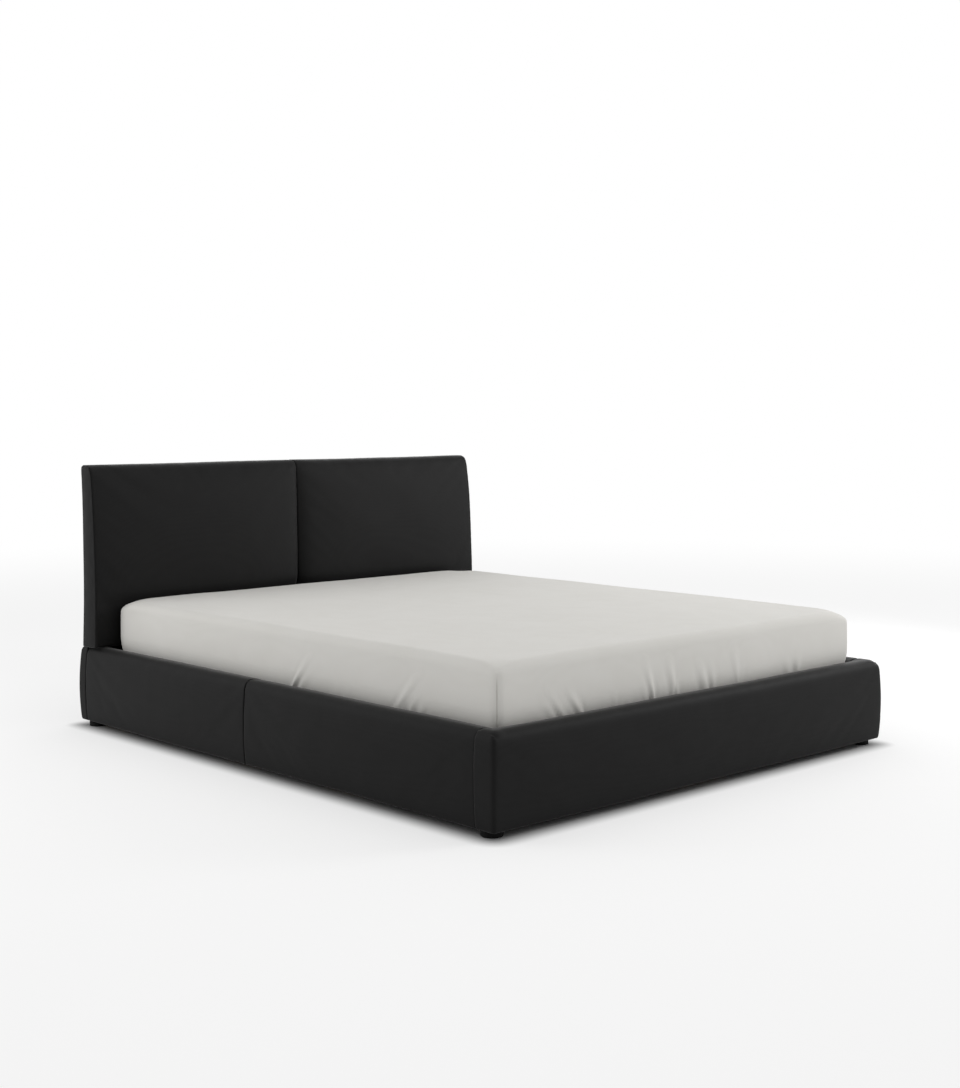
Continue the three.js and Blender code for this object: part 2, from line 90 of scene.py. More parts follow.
def spread(low, high, coarse, features, growth):
    """Cuts from low to high, fine near each (place, spacing) of features and coarse far from them all."""
    samples = np.linspace(low, high, SPREAD_SAMPLES)
    gap = np.full(len(samples), coarse)
    for place, fine in features:
        gap = np.minimum(gap, fine + growth * np.abs(samples - place))
    count = np.concatenate([[0], np.cumsum((1 / gap[1:] + 1 / gap[:-1]) / 2 * np.diff(samples))])
    steps = max(2, int(round(count[-1])))
    return np.interp(np.linspace(0, count[-1], steps + 1), count, samples)


def box_grid(xs, ys, zs):
    """The closed surface of a box cut at xs, ys and zs: its points, and quads that face out."""
    shape = (len(xs), len(ys), len(zs))
    grid = np.stack(np.meshgrid(xs, ys, zs, indexing="ij"), -1)
    on_skin = np.zeros(shape, bool)
    for axis in range(3):
        ends = [slice(None)] * 3
        for side in (0, -1):
            ends[axis] = side
            on_skin[tuple(ends)] = True
    number = np.full(shape, -1)
    number[on_skin] = np.arange(on_skin.sum())
    quads = []
    for axis in range(3):
        for side in (0, -1):
            face = np.take(number, side, axis=axis)
            a, b, c, d = face[:-1, :-1], face[1:, :-1], face[1:, 1:], face[:-1, 1:]
            outward = (side == -1) == (axis != 1)
            ring = (a, b, c, d) if outward else (a, d, c, b)
            quads.append(np.stack([q.ravel() for q in ring], -1))
    return grid[on_skin], np.concatenate(quads)


def round_edge(points, first, second, radius):
    """Rounds a box edge. first and second are (axis, where the face is, direction into the box)."""
    (a, at_a, into_a), (b, at_b, into_b) = first, second
    da = radius - (points[:, a] - at_a) * into_a
    db = radius - (points[:, b] - at_b) * into_b
    near = (da > 0) & (db > 0)
    scale = np.maximum(da, db)[near] / np.hypot(da, db)[near]
    points[near, a] = at_a + into_a * (radius - da[near] * scale)
    points[near, b] = at_b + into_b * (radius - db[near] * scale)


def faces_of(low, high):
    """The six faces of a box by name, each as round_edge wants it."""
    return {
        "left": (0, low[0], 1),
        "right": (0, high[0], -1),
        "front": (1, low[1], 1),
        "back": (1, high[1], -1),
        "bottom": (2, low[2], 1),
        "top": (2, high[2], -1),
    }


def make_mesh(name, points, quads):
    """A smooth-shaded object with these points and faces, in the scene."""
    mesh = bpy.data.meshes.new(name)
    mesh.from_pydata(points.tolist(), [], quads.tolist())
    mesh.validate()
    mesh.polygons.foreach_set("use_smooth", [True] * len(mesh.polygons))
    obj = bpy.data.objects.new(name, mesh)
    bpy.context.scene.collection.objects.link(obj)
    return obj


def normals_of(points, quads):
    """A unit normal at each point, from the quads round it."""
    a, b, c, d = (points[quads[:, i]] for i in range(4))
    facing = np.cross(c - a, d - b)
    total = np.zeros_like(points)
    for i in range(4):
        np.add.at(total, quads[:, i], facing)
    return total / np.maximum(np.linalg.norm(total, axis=1, keepdims=True), 1e-12)


RELAX_SHARE = 0.5


def relax(points, quads, rounds):
    """Moves each point part of the way to the middle of its neighbours."""
    edges = np.concatenate([quads[:, [i, (i + 1) % 4]] for i in range(4)])
    edges = np.concatenate([edges, edges[:, ::-1]])
    count = np.bincount(edges[:, 0], minlength=len(points))[:, None]
    for _ in range(rounds):
        total = np.zeros_like(points)
        np.add.at(total, edges[:, 0], points[edges[:, 1]])
        points += RELAX_SHARE * (total / count - points)


RIPPLE_WAVES = 7
RIPPLE_LENGTHS = (0.6, 1.7)  # the shortest and longest wave, as shares of the pitch asked for
RIPPLE_GAIN = 1.6


def ripple(points, pitch, seed):
    """Smooth noise, mostly between -1 and 1, at each point: a few sine waves in set directions."""
    random = np.random.default_rng(seed)
    total = np.zeros(len(points))
    for _ in range(RIPPLE_WAVES):
        direction = random.normal(size=3)
        direction /= np.linalg.norm(direction)
        length = pitch * random.uniform(*RIPPLE_LENGTHS)
        total += np.sin(points @ direction * 2 * math.pi / length + random.uniform(0, 2 * math.pi))
    return total / RIPPLE_WAVES * RIPPLE_GAIN


def bell(distance, width):
    """1 at no distance, falling away smoothly on both sides."""
    return np.exp(-((distance / width) ** 2))


def paint(obj, name, values):
    """Stores a number at each point, for the materials to read."""
    attribute = obj.data.attributes.new(name, "FLOAT", "POINT")
    attribute.data.foreach_set("value", np.clip(values, 0, 1).astype(np.float32))


def apply_modifiers(obj):
    """Replaces the mesh by what its modifiers make of it."""
    graph = bpy.context.evaluated_depsgraph_get()
    mesh = bpy.data.meshes.new_from_object(obj.evaluated_get(graph))
    obj.modifiers.clear()
    obj.data = mesh


# ---------------------------------------------------------------- cloth simulation

CLOTH_FRAMES = 20
CLOTH_CELL = 11 * MM
CLOTH_QUALITY = 5
CLOTH_MASS = 0.3
CLOTH_PRESSURE = 1.0
UNEVEN_PITCH = 90 * MM
UNEVEN_HEIGHT = 0.5 * MM
TYPICAL_PERCENTILE = 97
ON_FACE = 1e-9  # a point this near a face of its box counts as on it


def blown_up(points, quads, held, spare):
    """Blows a closed skin up as cloth with the held points fixed, and says how far each point moves.

    spare is how much larger the cloth is cut than the skin, so that it puckers where it is held.
    """
    obj = make_mesh("cloth_test", points, quads)
    group = obj.vertex_groups.new(name="held")
    group.add(np.flatnonzero(held).tolist(), 1.0, "REPLACE")
    modifier = obj.modifiers.new("cloth", "CLOTH")
    cloth = modifier.settings
    cloth.quality = CLOTH_QUALITY
    cloth.mass = CLOTH_MASS
    cloth.vertex_group_mass = "held"
    cloth.use_pressure = True
    cloth.uniform_pressure_force = CLOTH_PRESSURE
    cloth.shrink_min = -spare
    cloth.effector_weights.gravity = 0
    modifier.collision_settings.use_collision = False
    scene = bpy.context.scene
    for frame_number in range(1, CLOTH_FRAMES + 1):
        scene.frame_set(frame_number)
    graph = bpy.context.evaluated_depsgraph_get()
    result = obj.evaluated_get(graph).data
    settled = np.empty(len(points) * 3)
    result.vertices.foreach_get("co", settled)
    bpy.data.objects.remove(obj)
    scene.frame_set(1)
    return settled.reshape(-1, 3) - points


def on_grid(values, cuts):
    """Values of the points of a box_grid, put back in their places in its three-way grid."""
    shape = tuple(len(c) for c in cuts)
    on_skin = np.ones(shape, bool)
    on_skin[1:-1, 1:-1, 1:-1] = False
    grid = np.zeros((*shape, values.shape[1]))
    grid[on_skin] = values
    return grid


def carried(moves, cuts, rest):
    """Moves known at a coarse box_grid's points, carried over to the points of a finer one."""
    grid = on_grid(moves, cuts)
    result = np.zeros_like(rest)
    for axis in range(3):
        a, b = (other for other in range(3) if other != axis)
        for end in (0, -1):
            here = np.abs(rest[:, axis] - cuts[axis][end]) < 1e-7
            plane = np.take(grid, end, axis=axis)
            u = np.interp(rest[here, a], cuts[a], np.arange(len(cuts[a])))
            v = np.interp(rest[here, b], cuts[b], np.arange(len(cuts[b])))
            i = np.minimum(u.astype(int), len(cuts[a]) - 2)
            j = np.minimum(v.astype(int), len(cuts[b]) - 2)
            u, v = (u - i)[:, None], (v - j)[:, None]
            low = plane[i, j] * (1 - u) + plane[i + 1, j] * u
            high = plane[i, j + 1] * (1 - u) + plane[i + 1, j + 1] * u
            result[here] = low * (1 - v) + high * v
    return result


def capped(moves, most):
    """Moves scaled so that the larger of them come to most, and none goes beyond it."""
    reach = np.linalg.norm(moves, axis=1)
    typical = np.percentile(reach, TYPICAL_PERCENTILE)
    scaled_moves = moves * (most / max(typical, 1e-6))
    reach = np.maximum(np.linalg.norm(scaled_moves, axis=1, keepdims=True), 1e-9)
    return scaled_moves * np.minimum(1, most / reach)


def swelling(skin, low, high, held, most, spare, seed, rest):
    """How far a padded piece swells at each point of rest, on the box from low to high.

    The cloth is simulated on evenly spaced cuts and carried over. skin(cuts) gives the piece's points, its
    quads and the box's own points, and held picks out the box's points that stay where they are.
    """
    cuts = [np.linspace(low[i], high[i], max(3, int((high[i] - low[i]) / CLOTH_CELL))) for i in range(3)]
    points, quads, coarse_rest = skin(cuts)
    uneven = ripple(coarse_rest, UNEVEN_PITCH, seed) * UNEVEN_HEIGHT
    points = points + normals_of(points, quads) * uneven[:, None]
    moves = blown_up(points, quads, held(coarse_rest), spare)
    return carried(capped(moves, most), cuts, rest)


# ---------------------------------------------------------------- materials


def node(tree, kind, **settings):
    """A new shader node. A setting named in_Something goes to the input called Something."""
    made = tree.nodes.new(kind)
    for key, value in settings.items():
        if key.startswith("in_"):
            made.inputs[key[3:].replace("_", " ")].default_value = value
        else:
            setattr(made, key, value)
    return made


def new_material(name, roughness, **sockets):
    """A node material with its constants on the shader's own sockets."""
    material = bpy.data.materials.new(name)
    material.use_nodes = True
    tree = material.node_tree
    shader = tree.nodes["Principled BSDF"]
    shader.inputs["Roughness"].default_value = roughness
    for key, value in sockets.items():
        shader.inputs[key.replace("_", " ")].default_value = value
    place = node(tree, "ShaderNodeTexCoord")
    return material, tree, shader, place.outputs["Object"]


def colour_ramp(tree, factor, stops):
    """A colour that runs through stops, each a (position, colour), as factor goes from 0 to 1."""
    ramp = node(tree, "ShaderNodeValToRGB")
    elements = ramp.color_ramp.elements
    while len(elements) < len(stops):
        elements.new(0.5)
    for element, (position, colour) in zip(elements, stops):
        element.position = position
        element.color = (*colour, 1)
    tree.links.new(factor, ramp.inputs["Fac"])
    return ramp.outputs["Color"]


def scaled(tree, place, scale):
    mapping = node(tree, "ShaderNodeMapping", in_Scale=scale)
    tree.links.new(place, mapping.inputs["Vector"])
    return mapping.outputs["Vector"]


def noise_of(tree, place, scale, detail=3.0, roughness=0.5):
    made = node(tree, "ShaderNodeTexNoise", in_Scale=scale, in_Detail=detail, in_Roughness=roughness)
    tree.links.new(place, made.inputs["Vector"])
    return made.outputs["Fac"]


def maths(tree, operation, first, second):
    """A maths node's output. Each input is a socket or a fixed number."""
    made = node(tree, "ShaderNodeMath", operation=operation)
    for socket, value in zip(made.inputs, (first, second)):
        if isinstance(value, (int, float)):
            socket.default_value = value
        else:
            tree.links.new(value, socket)
    return made.outputs["Value"]


WAVE_NODE_FREQUENCY = 20  # radians per unit that a wave node of scale 1 turns through


def weave_height(tree, place, pitch):
    """Threads that cross on every face: a sum of one wave along each axis."""
    bands = []
    for direction in ("X", "Y", "Z"):
        wave = node(tree, "ShaderNodeTexWave", wave_type="BANDS", bands_direction=direction)
        wave.inputs["Scale"].default_value = 2 * math.pi / (WAVE_NODE_FREQUENCY * pitch)
        wave.inputs["Distortion"].default_value = 1.6
        wave.inputs["Detail"].default_value = 1.0
        wave.inputs["Detail Scale"].default_value = 2.0
        tree.links.new(place, wave.inputs["Vector"])
        bands.append(wave.outputs["Fac"])
    return maths(tree, "ADD", maths(tree, "ADD", bands[0], bands[1]), bands[2])


def bump(tree, shader, height, strength, distance, below=None):
    made = node(tree, "ShaderNodeBump", in_Strength=strength, in_Distance=distance)
    tree.links.new(height, made.inputs["Height"])
    if below is not None:
        tree.links.new(below, made.inputs["Normal"])
    tree.links.new(made.outputs["Normal"], shader.inputs["Normal"])
    return made.outputs["Normal"]


def attribute(tree, name):
    return node(tree, "ShaderNodeAttribute", attribute_name=name).outputs["Fac"]


def mix_colour(tree, factor, first, second):
    """first mixed with second by factor. Each is a socket or a fixed value."""
    made = node(tree, "ShaderNodeMix", data_type="RGBA", blend_type="MIX")
    for socket, value in ((made.inputs[0], factor), (made.inputs[6], first), (made.inputs[7], second)):
        if isinstance(value, (int, float)):
            socket.default_value = value
        elif isinstance(value, tuple):
            socket.default_value = (*value, 1)
        else:
            tree.links.new(value, socket)
    return made.outputs[2]


UPHOLSTERY_DARK = (0.0037, 0.0036, 0.0037)
UPHOLSTERY_LIGHT = (0.0052, 0.0051, 0.0051)
UPHOLSTERY_THREAD = (0.0082, 0.0080, 0.0081)
UPHOLSTERY_WEAR_AND_HIGHLIGHT = (0.0125, 0.0122, 0.0122)
UPHOLSTERY_SEAM_SHADE = (0.0016, 0.0016, 0.0016)
UPHOLSTERY_PITCH = 1.5 * MM


def upholstery_material():
    """Matt black woven cover: fine crossing threads, soft mottling, a paler band along rubbed top edges that
    is partly wear and partly a painted highlight, and painted shade in its seams and creases.
    """
    material, tree, shader, place = new_material(
        "black_upholstery", 0.6, Sheen_Weight=0.25, Sheen_Roughness=0.3, Specular_IOR_Level=0.17
    )
    mottle = noise_of(tree, place, 9.0, 4.0, 0.6)
    colour = colour_ramp(tree, mottle, [(0.3, UPHOLSTERY_DARK), (0.7, UPHOLSTERY_LIGHT)])
    thread = weave_height(tree, place, UPHOLSTERY_PITCH)
    colour = mix_colour(tree, maths(tree, "MULTIPLY", thread, 0.22), colour, UPHOLSTERY_THREAD)
    # paler along rubbed top edges: partly wear, partly a painted highlight
    colour = mix_colour(tree, attribute(tree, "wear_and_highlight"), colour, UPHOLSTERY_WEAR_AND_HIGHLIGHT)
    # darker in seams and creases: painted shade
    colour = mix_colour(tree, attribute(tree, "seam"), colour, UPHOLSTERY_SEAM_SHADE)
    tree.links.new(colour, shader.inputs["Base Color"])
    fuzz = bump(tree, shader, noise_of(tree, place, 900.0, 2.0), 0.2, 0.25 * MM)
    bump(tree, shader, thread, 0.13, 0.2 * MM, fuzz)
    return material


SHEET_DARK = (0.70, 0.685, 0.645)
SHEET_LIGHT = (0.735, 0.72, 0.685)
SHEET_THREAD = (0.76, 0.75, 0.715)
SHEET_SEAM_SHADE = (0.42, 0.40, 0.37)
SHEET_PITCH = 0.8 * MM
SLUB_STRETCH = (1, 0.2, 1)


def sheet_material():
    """Warm off-white cotton, plain weave, with slubs along the bed, and painted shade in its corner seams
    and along its hem.
    """
    material, tree, shader, place = new_material(
        "off_white_cotton", 0.9, Sheen_Weight=0.22, Sheen_Roughness=0.45, Specular_IOR_Level=0.15
    )
    mottle = noise_of(tree, place, 5.0, 3.0, 0.55)
    colour = colour_ramp(tree, mottle, [(0.25, SHEET_DARK), (0.75, SHEET_LIGHT)])
    thread = weave_height(tree, place, SHEET_PITCH)
    colour = mix_colour(tree, maths(tree, "MULTIPLY", thread, 0.2), colour, SHEET_THREAD)
    # darker in the corner seams and along the hem: painted shade
    colour = mix_colour(tree, attribute(tree, "seam"), colour, SHEET_SEAM_SHADE)
    tree.links.new(colour, shader.inputs["Base Color"])
    slub = noise_of(tree, scaled(tree, place, SLUB_STRETCH), 220.0, 2.0)
    bump(tree, shader, thread, 0.25, 0.15 * MM, bump(tree, shader, slub, 0.15, 0.3 * MM))
    return material


def ticking_material():
    """Woven mattress cover, paler than the sheet."""
    material, tree, shader, place = new_material(
        "mattress_ticking", 0.9, Sheen_Weight=0.1, Specular_IOR_Level=0.2
    )
    mottle = noise_of(tree, place, 30.0)
    colour = colour_ramp(tree, mottle, [(0.3, (0.72, 0.71, 0.68)), (0.7, (0.8, 0.79, 0.765))])
    tree.links.new(colour, shader.inputs["Base Color"])
    bump(tree, shader, weave_height(tree, place, 2.0 * MM), 0.4, 0.4 * MM)
    return material


def wood_material(name, dark, light, axis, roughness):
    """Sawn wood with its grain along one axis."""
    material, tree, shader, place = new_material(name, roughness)
    stretch = [60.0, 60.0, 60.0]
    stretch[axis] = 2.0
    grain = noise_of(tree, scaled(tree, place, stretch), 1.0, 6.0, 0.65)
    colour = colour_ramp(tree, grain, [(0.32, dark), (0.68, light)])
    tree.links.new(colour, shader.inputs["Base Color"])
    bump(tree, shader, grain, 0.25, 0.4 * MM)
    return material


def board_material():
    """Raw particle board: pressed flakes."""
    material, tree, shader, place = new_material("raw_board", 0.85)
    voronoi = node(tree, "ShaderNodeTexVoronoi", in_Scale=260.0)
    tree.links.new(place, voronoi.inputs["Vector"])
    flakes = voronoi.outputs["Distance"]
    colour = colour_ramp(tree, flakes, [(0.0, (0.52, 0.36, 0.19)), (0.9, (0.36, 0.23, 0.11))])
    tree.links.new(colour, shader.inputs["Base Color"])
    bump(tree, shader, flakes, 0.3, 0.3 * MM)
    return material


def steel_material():
    """Black powder coat with a fine orange peel."""
    material, tree, shader, place = new_material("black_powder_coat", 0.42, Metallic=0.3)
    grain = noise_of(tree, place, 700.0, 2.0)
    colour = colour_ramp(tree, grain, [(0.3, (0.018, 0.018, 0.02)), (0.7, (0.03, 0.03, 0.033))])
    tree.links.new(colour, shader.inputs["Base Color"])
    bump(tree, shader, grain, 0.35, 0.1 * MM)
    return material


def plastic_material():
    """Matt black moulded plastic with a fine grain."""
    material, tree, shader, place = new_material("black_moulded_plastic", 0.6, Specular_IOR_Level=0.15)
    grain = noise_of(tree, place, 500.0, 3.0)
    colour = colour_ramp(tree, grain, [(0.3, (0.003, 0.003, 0.003)), (0.7, (0.006, 0.006, 0.006))])
    tree.links.new(colour, shader.inputs["Base Color"])
    bump(tree, shader, grain, 0.25, 0.1 * MM)
    return material


UPHOLSTERY = upholstery_material()
SHEET = sheet_material()
TICKING = ticking_material()
NODE_FINISH = {
    "board": board_material(),
    "slat_wood": wood_material("slat_wood_across", (0.55, 0.37, 0.18), (0.74, 0.55, 0.32), 0, 0.55),
    "steel": steel_material(),
    "foot_plastic": plastic_material(),
}
LENGTHWISE_WOOD = wood_material("slat_wood_along", (0.50, 0.33, 0.16), (0.70, 0.51, 0.29), 1, 0.6)


def finish_cad_nodes():
    """The frame's own hard parts keep their meshes and get procedural materials."""
    for row in frame["record"]["subparts"]:
        finish = NODE_FINISH.get(row["material_slot"])
        if finish is None:
            continue
        if "ledge" in row["node"] or "beam" in row["node"]:
            finish = LENGTHWISE_WOOD if row["material_slot"] == "slat_wood" else finish
        mesh = frame["nodes"][row["node"]].data
        mesh.materials.clear()
        mesh.materials.append(finish)


def dress(obj, material, body, replaced):
    """Gives a new piece its finish and its body, and hides the CAD node that it stands for."""
    obj.data.materials.clear()
    obj.data.materials.append(material)
    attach(obj, body)
    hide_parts(replaced)
    return obj


# ---------------------------------------------------------------- padded rails

RAIL_CROWN = 7.5 * MM
RAIL_PROUD = 5 * MM
FOOTBOARD_END_PROUD = 8 * MM
RAIL_SWELL = 3.5 * MM
RAIL_SPARE = 0.006
RAIL_PADDING = 60 * MM  # how far in from an outer face its padding is felt
TOP_CREST = 30 * MM
TOP_FALL = 8 * MM
TOP_RADIUS = 30 * MM
HEAD_RAIL_TOP_RADIUS = 18 * MM
INNER_TOP_RADIUS = 10 * MM
BOTTOM_RADIUS = 9 * MM
CORNER_RADIUS = 11 * MM
SEAM_RADIUS = 4 * MM
# how wide the painted shade along each seam is
SEAM_SHADE_WIDTH = 2.2 * MM
SEAM_PULL, SEAM_PULL_REACH, SEAM_PLEAT = 0.9 * MM, 18 * MM, 26 * MM
RAIL_BROAD_PITCH, RAIL_BROAD_WAVE = 330 * MM, 0.9 * MM
RAIL_SMALL_PITCH, RAIL_SMALL_WAVE = 110 * MM, 0.3 * MM
# a paler band along the outer top edge: partly rubbed wear, partly a painted highlight
WEAR_AND_HIGHLIGHT_EDGE = 9 * MM
WEAR_AND_HIGHLIGHT_PITCH = 50 * MM
WEAR_AND_HIGHLIGHT_SHARE = 0.35


def rail_cover(cad_node, outer, seams, seed, top_radius=TOP_RADIUS, top_fall=TOP_FALL, end_proud=RAIL_PROUD):
    """A padded cover over one rail. outer names the sides that face out, seams the ends sewn to another."""
    low, high = (np.array(corner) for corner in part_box(cad_node))
    along = 0 if high[0] - low[0] > high[1] - low[1] else 1
    faces = faces_of(low, high)
    inner = [side for side in ("left", "right", "front", "back") if side not in outer + seams]

    def depth_from(side, points):
        axis, at, into = faces[side]
        return (points[:, axis] - at) * into

    def skin(cuts, rounds=0):
        points, quads = box_grid(*cuts)
        rest = points.copy()
        for a, b in (("front", "left"), ("front", "right"), ("back", "left"), ("back", "right")):
            radius = CORNER_RADIUS if a in outer and b in outer else SEAM_RADIUS
            round_edge(points, faces[a], faces[b], radius)
        for side in outer:
            round_edge(points, faces[side], faces["top"], top_radius)
            round_edge(points, faces[side], faces["bottom"], BOTTOM_RADIUS)
        for side in inner:
            round_edge(points, faces[side], faces["top"], INNER_TOP_RADIUS)
        for side in seams:
            round_edge(points, faces[side], faces["top"], SEAM_RADIUS)
        relax(points, quads, rounds)

        # the outer faces bulge between their top and bottom edges
        middle, half = (low[2] + high[2]) / 2, (high[2] - low[2]) / 2
        reach = (points[:, 2] - middle) / half
        from_outside = np.full(len(points), np.inf)
        for side in outer:
            axis, _, into = faces[side]
            depth = depth_from(side, points)
            from_outside = np.minimum(from_outside, depth)
            share = np.clip(1 - depth / RAIL_PADDING, 0, 1)
            proud = end_proud if axis == along else RAIL_PROUD
            points[:, axis] += into * (RAIL_CROWN * reach**2 - (proud - RAIL_SWELL)) * share

        # the top falls away towards the mattress
        width = high[1 - along] - low[1 - along]
        fall = np.clip((from_outside - TOP_CREST) / (width - TOP_CREST), 0, 1)
        points[:, 2] -= top_fall * fall**1.5 * np.clip(reach, 0, 1) ** 4
        return points, quads, rest

    def held(rest):
        fixed = rest[:, 2] < low[2] + ON_FACE
        for side in inner + seams:
            fixed |= np.abs(depth_from(side, rest)) < ON_FACE
        return fixed

    fine = [graded(low[i], high[i], 1.6 * MM, (13 if i == along else 7) * MM) for i in range(3)]
    points, quads, rest = skin(fine, rounds=3)
    outside = np.zeros(len(points))
    for side in outer:
        outside = np.maximum(outside, np.clip(1 - depth_from(side, points) / RAIL_PADDING, 0, 1))
    points += swelling(skin, low, high, held, RAIL_SWELL, RAIL_SPARE, seed, rest)

    # each seam draws the cloth in beside it and is darkened with painted shade, and the cloth is slack in
    # broad and small waves
    seam = np.zeros(len(points))
    unit = normals_of(points, quads)
    for side in seams:
        distance = depth_from(side, rest)
        seam = np.maximum(seam, bell(distance, SEAM_SHADE_WIDTH))
        pull = np.exp(-distance / SEAM_PULL_REACH) * SEAM_PULL
        pleat = 0.5 + 0.5 * ripple(rest * (np.arange(3) != faces[side][0]), SEAM_PLEAT, seed)
        points -= unit * (pull * pleat)[:, None]
    slack = ripple(rest, RAIL_BROAD_PITCH, seed + 10) * RAIL_BROAD_WAVE
    slack += ripple(rest, RAIL_SMALL_PITCH, seed + 20) * RAIL_SMALL_WAVE
    points += unit * slack[:, None]

    obj = make_mesh(cad_node.replace("_cover", "_padded_cover"), points, quads)
    # painted shade along each seam
    paint(obj, "seam", seam)
    # a paler band along the outer top edge: partly rubbed wear, partly a painted highlight
    edge = bell(high[2] - points[:, 2] - WEAR_AND_HIGHLIGHT_EDGE, WEAR_AND_HIGHLIGHT_EDGE) * outside
    paint(obj, "wear_and_highlight", WEAR_AND_HIGHLIGHT_SHARE * edge * (0.5 + 0.5 * ripple(rest, WEAR_AND_HIGHLIGHT_PITCH, seed + 30)))
    return dress(obj, UPHOLSTERY, "frame", cad_node)


def rail_covers():
    rail_cover("footboard_cover", ["front", "left", "right"], [], 1, end_proud=FOOTBOARD_END_PROUD)
    rail_cover("head_rail_cover", ["back", "left", "right"], [], 2, HEAD_RAIL_TOP_RADIUS, top_fall=0.0)
    for number, side in enumerate(("left", "right")):
        for part in ("foot", "head"):
            seed = 3 + 2 * number + (part == "head")
            rail_cover(f"{side}_rail_{part}_cover", [side], ["front", "back"], seed)


# ---------------------------------------------------------------- headboard

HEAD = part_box("head_rail_cover")[1].y
HEADBOARD_LOW, HEADBOARD_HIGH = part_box("right_headboard_cushion")
MATTRESS_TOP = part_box("fitted_sheet")[1].z
BACK_DEPTH = 36 * MM
FRONT_DEPTH = 131 * MM
BACK_ROLL = 18 * MM
FRONT_TAPER = 26 * MM
VALLEY_GAP = 0.15 * MM
VALLEY_SHARP, VALLEY_SHARP_REACH = 24 * MM, 18 * MM
VALLEY_SOFT, VALLEY_SOFT_REACH = 14 * MM, 90 * MM
VALLEY_LOST_AT_TOP = 0.85
CUSHION_CROWN = 13 * MM
CROWN_END_REACH = 60 * MM
CROWN_LOST_AT_TOP = 0.65
CUSHION_SWELL = 8 * MM
CUSHION_SPARE = 0.012
CUSHION_PROUD = 4 * MM
CUSHION_RISE = 3 * MM
PRESSED_IN, PRESSED_BLEND, PRESSED_END_REACH = 16 * MM, 12 * MM, 90 * MM
END_BELLY, END_BELLY_REACH = 3 * MM, 4 * MM
END_SEAM_WIDTH, END_SEAM_DEPTH = 2.4 * MM, 2.6 * MM
PLEAT_PITCH = 24 * MM
PLEAT_STRETCH = np.array([0.2, 1, 1])
PULL_DEPTH, PULL_REACH = 1.1 * MM, 28 * MM
CUSHION_BROAD_PITCH, CUSHION_BROAD_WAVE = 360 * MM, 1.4 * MM
# how wide the painted shade down the valley is
VALLEY_SHADE_WIDTH = 3 * MM
# the paler roll over the top: partly rubbed wear, partly a painted highlight
WEAR_AND_HIGHLIGHT_TOP = 20 * MM
# the two faces that each edge joins and its radius: left is the valley and right the outer end
CUSHION_EDGES = [
    ("left", "front", 2 * MM),
    ("right", "front", 5 * MM),
    ("left", "back", 2 * MM),
    ("right", "back", 6 * MM),
    ("front", "top", 38 * MM),
    ("back", "top", 16 * MM),
    ("left", "top", 4 * MM),
    ("right", "top", 6 * MM),
    ("front", "bottom", 10 * MM),
]


